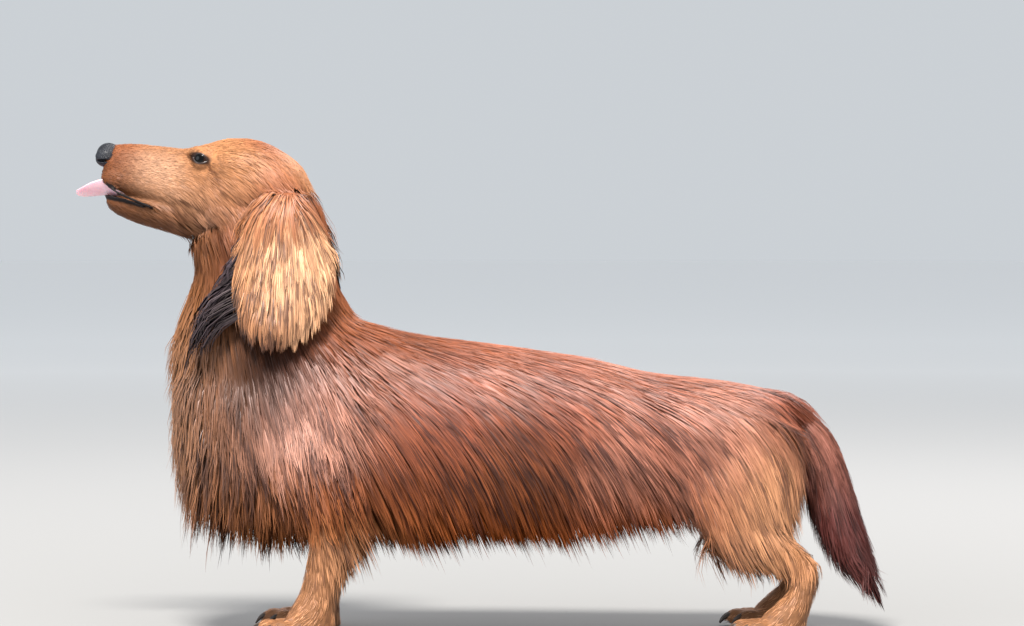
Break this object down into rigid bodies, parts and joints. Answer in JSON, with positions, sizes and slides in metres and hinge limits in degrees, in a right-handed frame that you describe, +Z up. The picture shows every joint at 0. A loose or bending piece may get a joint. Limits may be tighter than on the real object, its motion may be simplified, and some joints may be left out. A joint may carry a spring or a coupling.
{
  "type": "dachshund",
  "caption": "Longhaired dachshund standing with its head raised, tongue tip out and tail down, as a still life-size animal model.",
  "frame": {"origin": "on the floor under the middle of the model's box", "axes": "+Z up; the muzzle points along -X and the dog's left side faces -Y"},
  "size_m": [0.6674, 0.1568, 0.4053],
  "materials": {
    "body_hair": "long straight red hair, glossy, with darker hairs through the flanks",
    "neck_hair": "long red hair, lighter at the front of the chest",
    "head_hair": "short flat golden red hair",
    "jaw_hair": "short flat golden red hair",
    "ear_hair": "long wavy hair, blond over red, with a dark fringe",
    "foreleg_hair": "orange hair with a feather behind",
    "hindleg_hair": "golden red hair with breeches behind",
    "tail_hair": "long dark red hair",
    "nose": "moist grained skin",
    "tongue": "wet, finely pimpled",
    "eye": "polished, nearly black",
    "claw_horn": "dark horn, satin"
  },
  "bodies": {
    "root": {"torso": "body_hair", "neck": "neck_hair", "tail": "tail_hair", "foreleg_left": "foreleg_hair", "foreleg_right": "foreleg_hair", "hindleg_left": "hindleg_hair", "hindleg_right": "hindleg_hair", "head": "head_hair", "lower_jaw": "jaw_hair", "eye_left": "eye", "eye_right": "eye", "nose": "nose", "tongue": "tongue", "ear_left": "ear_hair", "ear_right": "ear_hair", "claw_front_left_1": "claw_horn", "claw_front_left_2": "claw_horn", "claw_front_left_3": "claw_horn", "claw_front_left_4": "claw_horn", "claw_hind_left_1": "claw_horn", "claw_hind_left_2": "claw_horn", "claw_hind_left_3": "claw_horn", "claw_hind_left_4": "claw_horn", "claw_front_right_1": "claw_horn", "claw_front_right_2": "claw_horn", "claw_front_right_3": "claw_horn", "claw_front_right_4": "claw_horn", "claw_hind_right_1": "claw_horn", "claw_hind_right_2": "claw_horn", "claw_hind_right_3": "claw_horn", "claw_hind_right_4": "claw_horn"}
  },
  "joints": []
}
